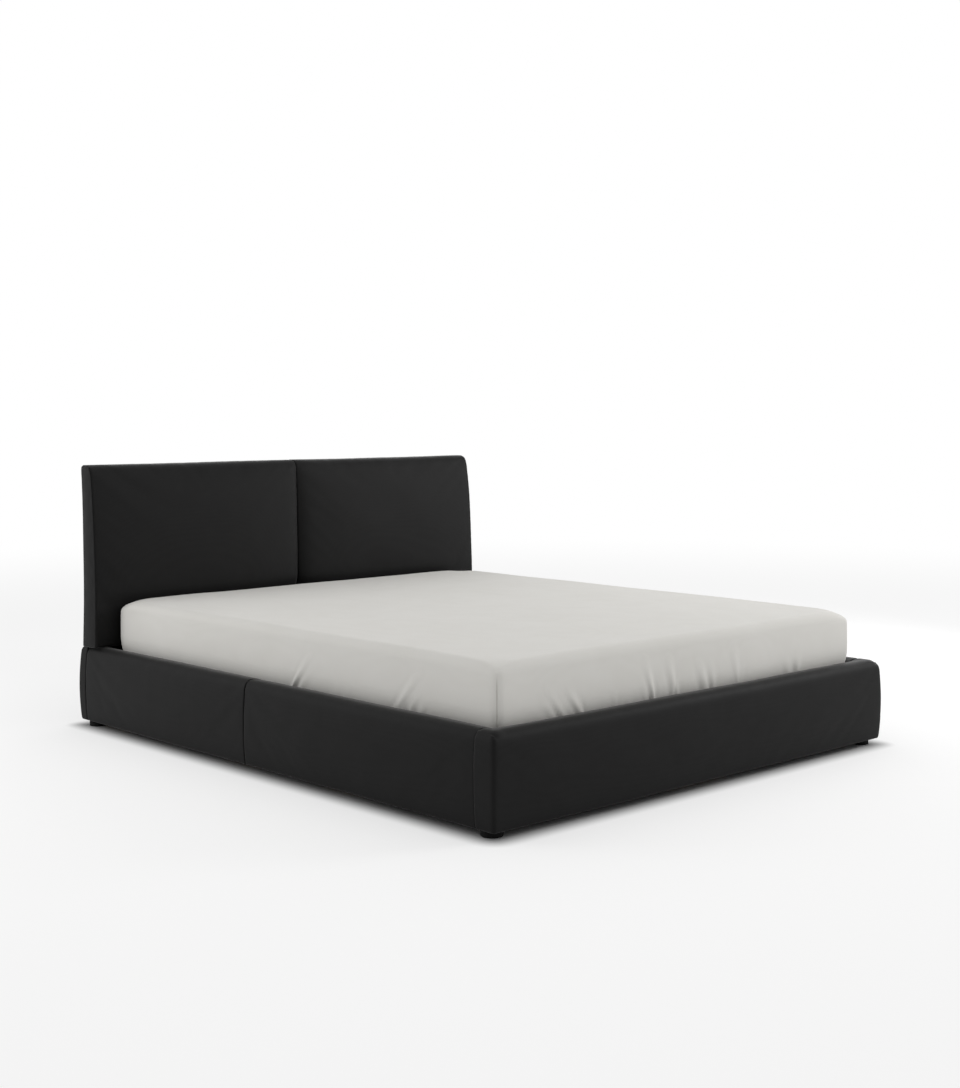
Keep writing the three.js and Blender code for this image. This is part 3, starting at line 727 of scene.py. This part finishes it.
def cushion(side):
    """One boxed headboard cushion: it swells between its seams and rolls back over the top.

    It is shaped as the right one, and the left one is mirrored at the end.
    """
    name = "right" if side > 0 else "left"
    bottom, top = HEADBOARD_LOW.z, HEADBOARD_HIGH.z
    low = np.array([VALLEY_GAP, -FRONT_DEPTH, bottom])
    high = np.array([HEADBOARD_HIGH.x + CUSHION_PROUD, -BACK_DEPTH, top + CUSHION_RISE])
    faces = faces_of(low, high)

    def skin(cuts, rounds=0):
        points, quads = box_grid(*cuts)
        rest = points.copy()
        for first, second, radius in CUSHION_EDGES:
            round_edge(points, faces[first], faces[second], radius)
        relax(points, quads, rounds)

        # the swell between the valley and the outer end, the valley, and the roll back to the top
        from_valley = np.clip(points[:, 0] - low[0], 0, None)
        from_end = np.clip(high[0] - points[:, 0], 0, None)
        climb = np.clip((points[:, 2] - bottom) / (top - bottom), 0, 1)
        share = np.clip((points[:, 1] + BACK_DEPTH) / (BACK_DEPTH - FRONT_DEPTH), 0, 1.2)
        fullness = (1 - np.exp(-from_end / CROWN_END_REACH)) * (1 - CROWN_LOST_AT_TOP * climb**5)
        sharp = VALLEY_SHARP * np.exp(-from_valley / VALLEY_SHARP_REACH)
        valley = sharp + VALLEY_SOFT * np.exp(-from_valley / VALLEY_SOFT_REACH)
        valley *= 1 - VALLEY_LOST_AT_TOP * climb**3
        points[:, 1] -= share**1.5 * ((CUSHION_CROWN - CUSHION_SWELL) * fullness - valley)
        points[:, 1] += climb**4 * BACK_ROLL + climb**2 * FRONT_TAPER * share

        # the mattress presses the foot of the cushion in
        pressed = 1 / (1 + np.exp((points[:, 2] - MATTRESS_TOP) / PRESSED_BLEND))
        points[:, 1] += share * PRESSED_IN * pressed * (1 - np.exp(-from_end / PRESSED_END_REACH))

        # the end panel stands a little proud between its seams
        belly = np.sin(np.clip(share, 0, 1) * math.pi) * np.sin(climb * math.pi) ** 0.3
        points[:, 0] += END_BELLY * np.clip(belly, 0, 1) * np.exp(-from_end / END_BELLY_REACH)
        return points, quads, rest

    def held(rest):
        at_back = rest[:, 1] > high[1] - ON_FACE
        at_bottom = rest[:, 2] < low[2] + ON_FACE
        at_valley = rest[:, 0] < low[0] + ON_FACE
        at_end = rest[:, 0] > high[0] - ON_FACE
        end_seam = at_end & ((rest[:, 1] < low[1] + ON_FACE) | (rest[:, 2] > high[2] - ON_FACE))
        return at_back | at_bottom | at_valley | end_seam

    fine = [
        graded(low[0], high[0], 1.5 * MM, 9 * MM, 1.2),
        graded(low[1], high[1], 1.6 * MM, 7 * MM),
        graded(low[2], high[2], 1.6 * MM, 9 * MM, 1.2),
    ]
    points, quads, rest = skin(fine, rounds=4)
    from_valley = rest[:, 0] - low[0]
    from_end = high[0] - rest[:, 0]
    to_front = rest[:, 1] - low[1]
    to_top = high[2] - rest[:, 2]
    points += swelling(skin, low, high, held, CUSHION_SWELL, CUSHION_SPARE, 40 + side, rest)

    # the seam round the end panel, along its front and top
    on_end = from_end < ON_FACE
    from_seam = np.where(on_end, np.minimum(to_front, to_top), from_end)
    groove = bell(from_seam, END_SEAM_WIDTH)
    unit = normals_of(points, quads)
    points -= unit * (groove * END_SEAM_DEPTH)[:, None]
    pleat = 0.5 + 0.5 * ripple(rest * PLEAT_STRETCH, PLEAT_PITCH, 5 + side)
    pull = np.exp(-np.minimum(from_seam, from_valley) / PULL_REACH) * PULL_DEPTH
    points -= unit * (pull * pleat)[:, None]
    points += unit * (ripple(rest, CUSHION_BROAD_PITCH, 7 + side) * CUSHION_BROAD_WAVE)[:, None]

    points[:, 1] += HEAD
    if side < 0:
        points[:, 0] *= -1
        quads = quads[:, ::-1]
    obj = make_mesh(f"{name}_padded_cushion", points, quads)
    # painted shade in the end panel's seam groove and down the valley between the cushions
    valley_shade = bell(from_valley, VALLEY_SHADE_WIDTH) * (to_front < 0.6 * (FRONT_DEPTH - BACK_DEPTH))
    paint(obj, "seam", np.maximum(groove, valley_shade))
    # paler along the roll over the top: partly rubbed wear, partly a painted highlight
    rubbed = bell(to_top - WEAR_AND_HIGHLIGHT_TOP, WEAR_AND_HIGHLIGHT_TOP) * (0.5 + 0.5 * ripple(rest, 60 * MM, 9))
    paint(obj, "wear_and_highlight", 0.3 * rubbed)
    return dress(obj, UPHOLSTERY, "frame", f"{name}_headboard_cushion")


BACK_PANEL_GAP = 2 * MM
BACK_PANEL_DEPTH = 40 * MM
BACK_PANEL_SHY = 1 * MM
BACK_PANEL_RADIUS = 2 * MM
BACK_PANEL_SWELL, BACK_PANEL_REACH = 2.5 * MM, 50 * MM
BACK_PANEL_PITCH, BACK_PANEL_WAVE = 300 * MM, 1.0 * MM
BACK_PANEL_SEAM_SHADE = 2.5 * MM


def headboard_back():
    """The cloth back panel, let in between the cushions' turned edges."""
    low, high = (np.array(corner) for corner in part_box("headboard_back"))
    low[0] += BACK_PANEL_GAP
    high[0] -= BACK_PANEL_GAP
    low[1], high[1] = HEAD - BACK_PANEL_DEPTH, HEAD - BACK_DEPTH - BACK_PANEL_SHY
    points, quads = box_grid(
        graded(low[0], high[0], 2 * MM, 16 * MM),
        graded(low[1], high[1], 1 * MM, 2 * MM),
        graded(low[2], high[2], 2 * MM, 14 * MM),
    )
    rest = points.copy()
    faces = faces_of(low, high)
    for side in ("left", "right", "top", "bottom"):
        round_edge(points, faces[side], faces["back"], BACK_PANEL_RADIUS)
    share = (rest[:, 1] - low[1]) / (high[1] - low[1])
    climb = (rest[:, 2] - low[2]) / (HEADBOARD_HIGH.z - low[2])
    from_ends = np.minimum(rest[:, 0] - low[0], high[0] - rest[:, 0])
    border = np.minimum(from_ends, high[2] - rest[:, 2])
    swell = BACK_PANEL_SWELL * (1 - np.exp(-border / BACK_PANEL_REACH))
    points[:, 1] += share * (BACK_ROLL * climb**4 + swell)
    points[:, 1] += share * ripple(rest, BACK_PANEL_PITCH, 4) * BACK_PANEL_WAVE
    obj = make_mesh("headboard_cloth_back", points, quads)
    # painted shade round the panel's border, where it is let in between the cushions
    paint(obj, "seam", bell(border, BACK_PANEL_SEAM_SHADE))
    paint(obj, "wear_and_highlight", np.zeros(len(points)))
    return dress(obj, UPHOLSTERY, "frame", "headboard_back")


# ---------------------------------------------------------------- mattress and sheet

CROWN_RISE = 3 * MM
SIDE_TUCK = 16 * MM
SIDE_TUCK_HEIGHT = 90 * MM
CORNER_DROOP = 19 * MM
CORNER_DROOP_REACH = 62 * MM


def mattress_skin(low, high, cuts, corner, top_radius, bottom_radius, fullness):
    """A mattress-shaped closed skin, with rims that run evenly round its corners."""
    points, quads = box_grid(*cuts)
    rest = points.copy()
    faces = faces_of(low, high)
    for a in ("front", "back"):
        for b in ("left", "right"):
            round_edge(points, faces[a], faces[b], corner)
    inset = np.stack([np.minimum(rest[:, i] - low[i], high[i] - rest[:, i]) for i in range(2)], -1)
    inward = np.clip(points[:, :2], low[:2] + corner, high[:2] - corner) - points[:, :2]
    inward /= np.maximum(np.linalg.norm(inward, axis=1, keepdims=True), 1e-9)
    for level, into, radius in ((high[2], -1, top_radius), (low[2], 1, bottom_radius)):
        from_side = radius - inset.min(axis=1)
        from_level = radius - (rest[:, 2] - level) * into
        near = (from_side > 0) & (from_level > 0)
        scale = np.maximum(from_side, from_level)[near] / np.hypot(from_side, from_level)[near]
        points[near, :2] += inward[near] * (from_side[near] * (1 - scale))[:, None]
        points[near, 2] += into * from_level[near] * (1 - scale)
    relax(points, quads, 3)

    # the top rises a little to its middle, the corners droop, and the sides turn in towards the slats
    reach = 2 * (rest - low) / (high - low) - 1
    rise = CROWN_RISE * (1 - reach[:, 0] ** 4) * (1 - reach[:, 1] ** 4)
    points[:, 2] += np.where(rest[:, 2] > high[2] - ON_FACE, rise, 0)
    height = points[:, 2] - low[2]
    climb = np.clip(height / (high[2] - low[2]), 0, 1)
    lean = fullness * (1 - (2 * climb - 1) ** 2)
    lean -= SIDE_TUCK * np.clip(1 - height / SIDE_TUCK_HEIGHT, 0, 1) ** 2
    for axis in range(2):
        middle, half = (low[axis] + high[axis]) / 2, (high[axis] - low[axis]) / 2
        share = (points[:, axis] - middle) / half
        points[:, axis] += lean * np.sign(share) * np.abs(share) ** 12
    points[:, 2] -= CORNER_DROOP * bell(np.hypot(*inset.T), CORNER_DROOP_REACH) * climb**4
    return points, quads, rest, inset


SHEET_LIFT = 0.4 * MM
SHEET_PROUD = 10 * MM
HEAD_CLEARANCE = 6 * MM
SHEET_CORNER = 30 * MM
SHEET_TOP_RADIUS = 29 * MM
SHEET_BOTTOM_RADIUS = 18 * MM
SHEET_FULLNESS = 2 * MM


def sheet_box():
    """The fitted sheet's box: proud of its CAD solid at the sides and foot, and clear of the cushions."""
    low, high = (np.array(corner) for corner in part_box("fitted_sheet"))
    low[2] += SHEET_LIFT
    low[:2] -= SHEET_PROUD
    high[0] += SHEET_PROUD
    high[1] -= HEAD_CLEARANCE
    return low, high


MATTRESS_INSET = 4 * MM
MATTRESS_BOTTOM_INSET = 2 * MM
TAPE_HEIGHT, TAPE_WIDTH, TAPE_DEPTH = 16 * MM, 4 * MM, 2 * MM
QUILT_PITCH, QUILT_LINE, QUILT_DEPTH = 120 * MM, 0.35, 4 * MM


def mattress():
    """The quilted mattress inside the sheet, with a taped seam near its bottom."""
    low, high = sheet_box()
    low += MATTRESS_INSET
    high -= MATTRESS_INSET
    low[2] -= MATTRESS_INSET - MATTRESS_BOTTOM_INSET
    cuts = [graded(low[i], high[i], 2.5 * MM, (9 if i == 2 else 16) * MM) for i in range(3)]
    radii = [radius - MATTRESS_INSET for radius in (SHEET_CORNER, SHEET_TOP_RADIUS, SHEET_BOTTOM_RADIUS)]
    points, quads, rest, _ = mattress_skin(low, high, cuts, *radii, 0.0)
    from_tape = np.abs(points[:, 2] - (low[2] + TAPE_HEIGHT))
    unit = normals_of(points, quads)
    points -= unit * (bell(from_tape, TAPE_WIDTH) * TAPE_DEPTH)[:, None]
    quilt = np.sin(rest[:, 0] * math.pi / QUILT_PITCH) * np.sin(rest[:, 1] * math.pi / QUILT_PITCH)
    points -= unit * (np.clip(QUILT_LINE - np.abs(quilt), 0, 1) * QUILT_DEPTH)[:, None]
    obj = make_mesh("quilted_mattress", points, quads)
    return dress(obj, TICKING, "mattress", "mattress")


# where the hem's elastic bunches the cloth: side, centre along it, spread, folds, greatest height, lean
GATHERS = [
    ("left", -0.107, 0.030, 5, 0.105, -0.9),
    ("left", -0.340, 0.040, 3, 0.040, -0.3),
    ("left", -0.600, 0.035, 5, 0.110, -0.9),
    ("left", -0.720, 0.055, 5, 0.050, -0.4),
    ("front", -0.515, 0.035, 6, 0.095, -0.7),
    ("front", -0.330, 0.040, 3, 0.045, -0.3),
    ("front", -0.205, 0.030, 4, 0.118, -0.3),
    ("front", -0.085, 0.025, 4, 0.112, -0.3),
    ("front", 0.074, 0.025, 4, 0.140, -0.35),
    ("front", 0.220, 0.020, 3, 0.130, -0.2),
    ("front", 0.547, 0.030, 4, 0.080, -0.1),
    ("right", -0.700, 0.050, 6, 0.110, 0.5),
    ("right", 0.100, 0.060, 5, 0.090, 0.2),
    ("right", 0.650, 0.050, 5, 0.110, -0.3),
    ("back", -0.450, 0.060, 6, 0.100, 0.2),
    ("back", 0.350, 0.060, 6, 0.110, -0.2),
]
SIDE_AXES = {"left": (0, 0), "right": (0, 1), "front": (1, 0), "back": (1, 1)}
GATHER_FOOT = 30 * MM
GATHER_TALL = 150 * MM
LEAN_RANGE = (-0.12, 0.12)
HEIGHT_RANGE = (0.45, 1.0)
WIDTH_RANGE = (5.5 * MM, 9.5 * MM)
PROUD_RANGE = (2.4 * MM, 4.4 * MM)


def gathers(rest, low, high):
    """How far each point of the sheet stands proud where the hem's elastic bunches it into upright folds."""
    random = np.random.default_rng(21)
    total = np.zeros(len(rest))
    box = (low, high)
    for side, centre, bunch, count, tallest, slant in GATHERS:
        axis, end = SIDE_AXES[side]
        here = np.abs(rest[:, axis] - box[end][axis]) < ON_FACE
        along = rest[here, 1 - axis]
        rise = rest[here, 2] - (low[2] + GATHER_FOOT)
        fold = np.zeros(len(along))
        for _ in range(count):
            foot = centre + random.normal() * bunch
            lean = slant + random.uniform(*LEAN_RANGE)
            height = tallest * random.uniform(*HEIGHT_RANGE)
            width = random.uniform(*WIDTH_RANGE)
            proud = random.uniform(*PROUD_RANGE) * (height / GATHER_TALL) ** 0.5
            climb = np.clip(rise / height, 0, None)
            # a ridge with a shallow furrow on each side, which widens and dies away as it climbs
            across = (along - foot - lean * np.clip(rise, 0, None)) / (width * (1 + 1.2 * climb))
            furrows = 0.5 * np.exp(-((np.abs(across) - 1.7) ** 2) / 0.7)
            fold += proud * (np.exp(-(across**2)) - furrows) * np.exp(-(climb**2) * 1.6)
        total[here] += fold
    return total


SHEET_THICKNESS = 0.9 * MM
SHEET_HEM = 120 * MM
# a line of painted shade just inside the hem's edge, beneath
HEM_SHADE_INSET, HEM_SHADE_WIDTH = 12 * MM, 2 * MM
HEM_BROAD_PITCH, HEM_BROAD_WAVE = 70 * MM, 14 * MM
HEM_SMALL_PITCH, HEM_SMALL_WAVE = 22 * MM, 6 * MM
HEM_BUNCH_START, HEM_BUNCH_REACH = 60 * MM, 60 * MM
HEM_BUNCH_PITCH, HEM_BUNCH = 18 * MM, 1.4 * MM
CORNER_SEAM_TOP, CORNER_SEAM_FADE = 42 * MM, 6 * MM
CORNER_SEAM_WIDTH, CORNER_SEAM_DEPTH = 2.6 * MM, 1.6 * MM
CORNER_TUCK_START, CORNER_TUCK_HEIGHT, CORNER_TUCK_REACH = 30 * MM, 120 * MM, 20 * MM
CORNER_TUCK, CORNER_TUCK_PITCH, CORNER_TUCK_WAVE = 1.6 * MM, 30 * MM, 0.7 * MM
SHEET_BROAD_PITCH, SHEET_BROAD_WAVE = 420 * MM, 1.1 * MM
SHEET_SMALL_PITCH, SHEET_SMALL_WAVE = 130 * MM, 0.25 * MM


def sheet_cuts(low, high):
    """The sheet's grid: fine at its edges and where it is gathered."""
    fine_at = [[(low[i], 2 * MM), (high[i], 2 * MM)] for i in range(3)]
    for side, centre, *_ in GATHERS:
        fine_at[1 - SIDE_AXES[side][0]].append((centre, 3.5 * MM))
    return [spread(low[i], high[i], (6 if i == 2 else 10) * MM, fine_at[i], 0.12) for i in range(3)]


def fitted_sheet():
    """A fitted sheet over the mattress: seamed corners, folds above its hem, and the hem tucked beneath."""
    low, high = sheet_box()
    radii = (SHEET_CORNER, SHEET_TOP_RADIUS, SHEET_BOTTOM_RADIUS)
    points, quads, rest, inset = mattress_skin(low, high, sheet_cuts(low, high), *radii, SHEET_FULLNESS)
    unit = normals_of(points, quads)
    from_corner = inset.max(axis=1)
    from_edge = inset.min(axis=1)
    below_top = high[2] - rest[:, 2]

    # the seam down each corner, and the cloth that it draws in
    on_side = (from_edge < ON_FACE) & (below_top > ON_FACE)
    sewn = bell(from_corner, CORNER_SEAM_WIDTH) * on_side
    sewn /= 1 + np.exp(-(below_top - CORNER_SEAM_TOP) / CORNER_SEAM_FADE)
    tuck = np.exp(-from_corner / CORNER_TUCK_REACH) * on_side
    tuck *= np.clip((below_top - CORNER_TUCK_START) / CORNER_TUCK_HEIGHT, 0, 1)
    tuck *= CORNER_TUCK + CORNER_TUCK_WAVE * ripple(rest, CORNER_TUCK_PITCH, 3)
    points -= unit * (sewn * CORNER_SEAM_DEPTH + tuck)[:, None]
    points += unit * gathers(rest, low, high)[:, None]
    slack = ripple(rest, SHEET_BROAD_PITCH, 31) * SHEET_BROAD_WAVE
    slack += ripple(rest, SHEET_SMALL_PITCH, 32) * SHEET_SMALL_WAVE
    points += unit * slack[:, None]

    # beneath, the hem runs unevenly and bunches along its elastic, and the rest is open
    under = rest[:, 2] < low[2] + ON_FACE
    wave = HEM_BROAD_WAVE * ripple(rest, HEM_BROAD_PITCH, 33)
    wave += HEM_SMALL_WAVE * ripple(rest, HEM_SMALL_PITCH, 34)
    bunch = np.where(under, np.clip((from_edge - HEM_BUNCH_START) / HEM_BUNCH_REACH, 0, 1), 0)
    points[:, 2] -= bunch * (1 + ripple(rest, HEM_BUNCH_PITCH, 35)) * HEM_BUNCH
    beyond_hem = under & (from_edge > SHEET_HEM + wave)
    quads = quads[~beyond_hem[quads].any(axis=1)]
    used = np.zeros(len(points), bool)
    used[quads] = True
    renumber = np.cumsum(used) - 1
    obj = make_mesh("cotton_fitted_sheet", points[used], renumber[quads])
    # painted shade: a line just inside the hem's edge, and down the corner seams
    hem = bell(from_edge - SHEET_HEM - wave + HEM_SHADE_INSET, HEM_SHADE_WIDTH) * under
    paint(obj, "seam", np.maximum(sewn * 0.7, 0.8 * hem)[used])
    cloth = obj.modifiers.new("cloth", "SOLIDIFY")
    cloth.thickness = SHEET_THICKNESS
    cloth.offset = -1
    apply_modifiers(obj)
    dress(obj, SHEET, "mattress", "fitted_sheet")


# ---------------------------------------------------------------- stage, light and camera

FLOOR_HALF = 60.0
FLOOR_DIFFUSE = 0.47
FLOOR_GLOW = 0.54
FLOOR_GLOW_ON_BED = 0.30
FLOOR_FADE_START, FLOOR_FADE_END = 3.0, 9.0
CONTACT_SHADE = 0.085
SHADE_INSET = 0.02


def eased(tree, value, start, end):
    """0 up to start, 1 from end on, and smooth between them."""
    made = node(tree, "ShaderNodeMapRange", interpolation_type="SMOOTHSTEP")
    made.inputs["From Min"].default_value = start
    made.inputs["From Max"].default_value = end
    tree.links.new(value, made.inputs["Value"])
    return made.outputs["Result"]


def vector_maths(tree, operation, first, second=(0, 0, 0)):
    """The outputs of a vector maths node whose second input is a fixed vector."""
    made = node(tree, "ShaderNodeVectorMath", operation=operation)
    tree.links.new(first, made.inputs[0])
    made.inputs[1].default_value = second
    return made.outputs


def floor():
    """A pale floor, part diffuse and part lit from within, which fades to plain white far from the bed."""
    mesh = bpy.data.meshes.new("floor")
    corners = [(x * FLOOR_HALF, y * FLOOR_HALF, 0) for x, y in ((-1, -1), (1, -1), (1, 1), (-1, 1))]
    mesh.from_pydata(corners, [], [(0, 1, 2, 3)])
    obj = bpy.data.objects.new("floor", mesh)
    bpy.context.scene.collection.objects.link(obj)
    material = bpy.data.materials.new("pale_floor")
    material.use_nodes = True
    tree = material.node_tree
    shader = tree.nodes["Principled BSDF"]
    shader.inputs["Base Color"].default_value = (FLOOR_DIFFUSE, FLOOR_DIFFUSE, FLOOR_DIFFUSE, 1)
    shader.inputs["Roughness"].default_value = 0.9
    shader.inputs["Specular IOR Level"].default_value = 0.0
    shader.inputs["Emission Color"].default_value = (1, 1, 1, 1)

    # the glow is weaker on the bed than to the camera, and dies away beneath and just round the bed, which
    # paints a contact shadow there
    ray = node(tree, "ShaderNodeLightPath")
    lift = node(tree, "ShaderNodeMapRange")
    lift.inputs["To Min"].default_value = FLOOR_GLOW_ON_BED
    lift.inputs["To Max"].default_value = FLOOR_GLOW
    tree.links.new(ray.outputs["Is Camera Ray"], lift.inputs["Value"])
    place = node(tree, "ShaderNodeTexCoord").outputs["Object"]
    shaded = (CAD_HIGH[0] - SHADE_INSET, CAD_HIGH[1] - SHADE_INSET, 0)
    beyond = vector_maths(tree, "SUBTRACT", vector_maths(tree, "ABSOLUTE", place)["Vector"], shaded)
    gap = vector_maths(tree, "LENGTH", vector_maths(tree, "MAXIMUM", beyond["Vector"])["Vector"])
    open_floor = eased(tree, gap["Value"], 0, CONTACT_SHADE)
    glow = maths(tree, "MULTIPLY", lift.outputs["Result"], open_floor)
    tree.links.new(glow, shader.inputs["Emission Strength"])

    white = node(tree, "ShaderNodeEmission", in_Strength=1.0)
    distance = vector_maths(tree, "LENGTH", place)["Value"]
    blend = node(tree, "ShaderNodeMixShader")
    tree.links.new(eased(tree, distance, FLOOR_FADE_START, FLOOR_FADE_END), blend.inputs["Fac"])
    tree.links.new(shader.outputs["BSDF"], blend.inputs[1])
    tree.links.new(white.outputs["Emission"], blend.inputs[2])
    tree.links.new(blend.outputs["Shader"], tree.nodes["Material Output"].inputs["Surface"])
    mesh.materials.append(material)


# name, place, the point it is aimed at, side of its square and watts
SOFTBOXES = [
    ("overhead_softbox", (0.4, 0.6, 3.6), (0, 0, 0.4), 4.0, 3),
    ("left_softbox", (-3.0, 1.9, 1.5), (-0.9, 0.7, 0.3), 1.6, 18),
    ("right_softbox", (3.4, -2.6, 2.2), (0.3, 0.9, 0.5), 1.6, 50),
    ("head_right_softbox", (3.3, 0.1, 1.5), (0.8, 1.0, 0.7), 1.2, 12),
]


def softbox(name, place, target, size, power):
    light = bpy.data.lights.new(name, "AREA")
    light.shape = "RECTANGLE"
    light.size, light.size_y = size, size
    light.energy = power
    obj = bpy.data.objects.new(name, light)
    obj.location = place
    obj.visible_camera = False
    obj.rotation_euler = (Vector(target) - Vector(place)).to_track_quat("-Z", "Y").to_euler()
    bpy.context.scene.collection.objects.link(obj)


SKY_EVEN = 0.62
SKY_OVERHEAD = 0.13
SKY_BEHIND = 0.16
BEHIND = (0.68, 0.73, 0.0)


def studio():
    """A white room, brightest overhead and behind the bed. The camera sees plain white."""
    world = bpy.data.worlds.new("studio")
    bpy.context.scene.world = world
    world.use_nodes = True
    tree = world.node_tree
    sky = tree.nodes["Background"]
    towards = node(tree, "ShaderNodeTexCoord").outputs["Generated"]
    behind = vector_maths(tree, "DOT_PRODUCT", towards, BEHIND)["Value"]
    parts = node(tree, "ShaderNodeSeparateXYZ")
    tree.links.new(towards, parts.inputs[0])
    overhead = maths(tree, "MAXIMUM", parts.outputs["Z"], 0.0)
    upper = maths(tree, "MULTIPLY", overhead, SKY_OVERHEAD)
    back = maths(tree, "MULTIPLY", behind, SKY_BEHIND)
    strength = maths(tree, "ADD", maths(tree, "ADD", upper, back), SKY_EVEN)
    tree.links.new(strength, sky.inputs["Strength"])
    sky.inputs["Color"].default_value = (1, 1, 1, 1)
    seen = node(tree, "ShaderNodeBackground", in_Color=(1, 1, 1, 1), in_Strength=1.0)
    ray = node(tree, "ShaderNodeLightPath")
    blend = node(tree, "ShaderNodeMixShader")
    tree.links.new(ray.outputs["Is Camera Ray"], blend.inputs["Fac"])
    tree.links.new(sky.outputs["Background"], blend.inputs[1])
    tree.links.new(seen.outputs["Background"], blend.inputs[2])
    tree.links.new(blend.outputs["Shader"], tree.nodes["World Output"].inputs["Surface"])
    for settings in SOFTBOXES:
        softbox(*settings)
    bpy.context.scene.view_settings.view_transform = "Standard"


CAMERA_PLACE = (-3.9037, -4.2238, 1.167)
CAMERA_TURN = -43.17
CAMERA_SHIFT = -0.1248
CAMERA_SENSOR, CAMERA_LENS = 36, 53.10662


def camera():
    """A level camera off the foot's left corner, its frame shifted down to take in the bed."""
    data = bpy.data.cameras.new("camera")
    data.sensor_width = CAMERA_SENSOR
    data.lens = CAMERA_LENS
    data.shift_y = CAMERA_SHIFT
    data.clip_end = 200
    obj = bpy.data.objects.new("camera", data)
    obj.location = CAMERA_PLACE
    obj.rotation_euler = (math.radians(90), 0, math.radians(CAMERA_TURN))
    bpy.context.scene.collection.objects.link(obj)
    bpy.context.scene.camera = obj


camera()
studio()
floor()
finish_cad_nodes()
rail_covers()
cushion(-1)
cushion(1)
headboard_back()
mattress()
fitted_sheet()
